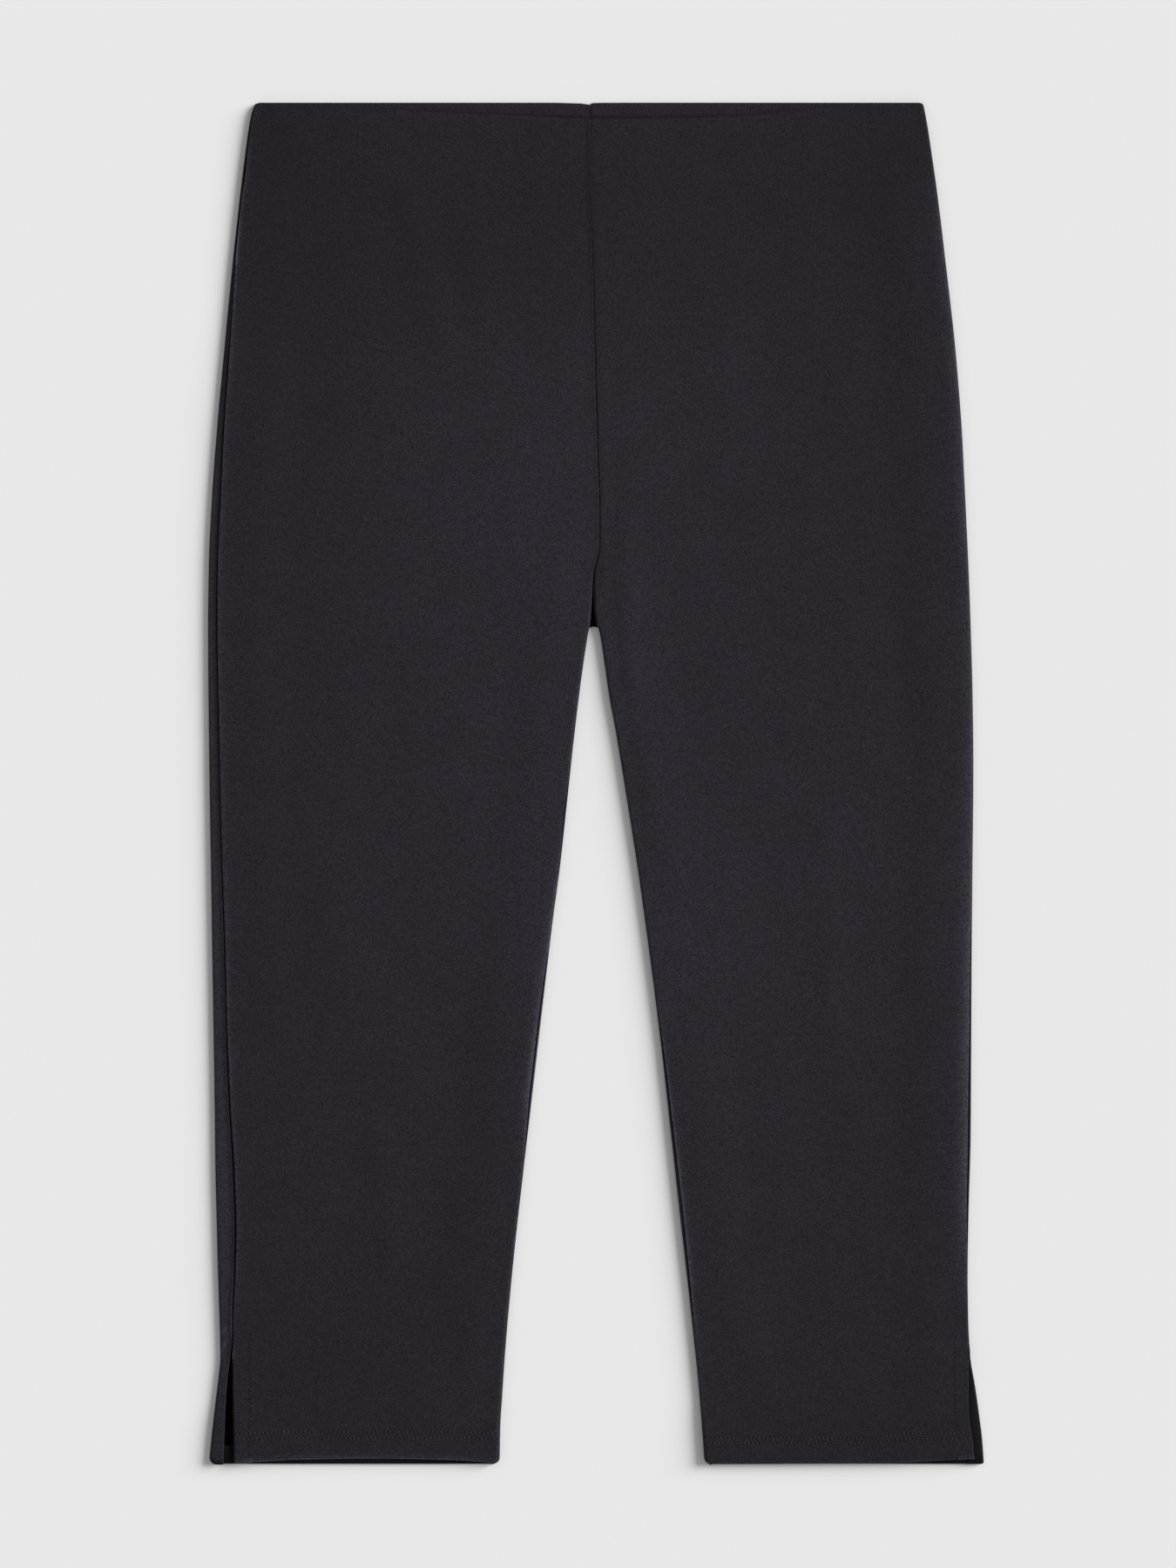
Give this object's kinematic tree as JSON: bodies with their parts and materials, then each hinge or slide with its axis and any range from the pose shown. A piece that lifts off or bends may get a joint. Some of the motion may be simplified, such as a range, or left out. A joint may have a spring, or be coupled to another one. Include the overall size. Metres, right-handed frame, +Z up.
{
  "type": "capri pants",
  "caption": "Women's pull-on stretch capri pants laid flat, front up: straight cropped legs with side slits at the hems, a faced waist and a centre seam.",
  "frame": {"origin": "centre of the bounding box, at the surface the garment lies on", "axes": "+X to the wearer's left, +Y up the garment from the hems to the waist, +Z up from the surface, out of the front"},
  "size_m": [0.4949, 0.8678, 0.006],
  "materials": {
    "cloth": "matt charcoal stretch knit",
    "waist_facing": "matt charcoal stretch knit, inside"
  },
  "bodies": {
    "root": {"front_right": "cloth", "front_left": "cloth", "back_right": "cloth", "back_left": "cloth", "waist_facing_right": "waist_facing", "waist_facing_left": "waist_facing"}
  },
  "joints": []
}
